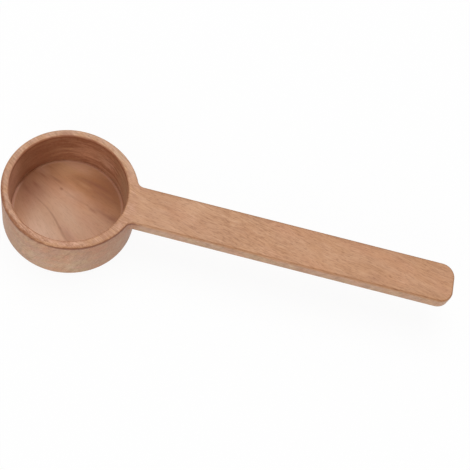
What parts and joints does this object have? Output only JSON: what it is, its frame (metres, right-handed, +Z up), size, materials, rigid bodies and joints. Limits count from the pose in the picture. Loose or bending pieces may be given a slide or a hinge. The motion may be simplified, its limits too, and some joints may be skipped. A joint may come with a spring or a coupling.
{
  "type": "measuring spoon",
  "caption": "Round, straight-sided wooden measuring scoop with a flat, straight handle level with its rim, for spooning out dry goods such as ground coffee or flour",
  "frame": {"origin": "centre of the cup's flat base, on the axis of the round bore", "axes": "+X along the handle from the cup to the tip, +Z up out of the cup's mouth, +Y across the handle"},
  "size_m": [0.182, 0.052, 0.0244],
  "materials": {
    "wood": "fine-sanded and oiled, satin"
  },
  "bodies": {
    "root": {"handle_and_rim": "wood", "cup_wall": "wood", "cup_floor": "wood"}
  },
  "joints": []
}
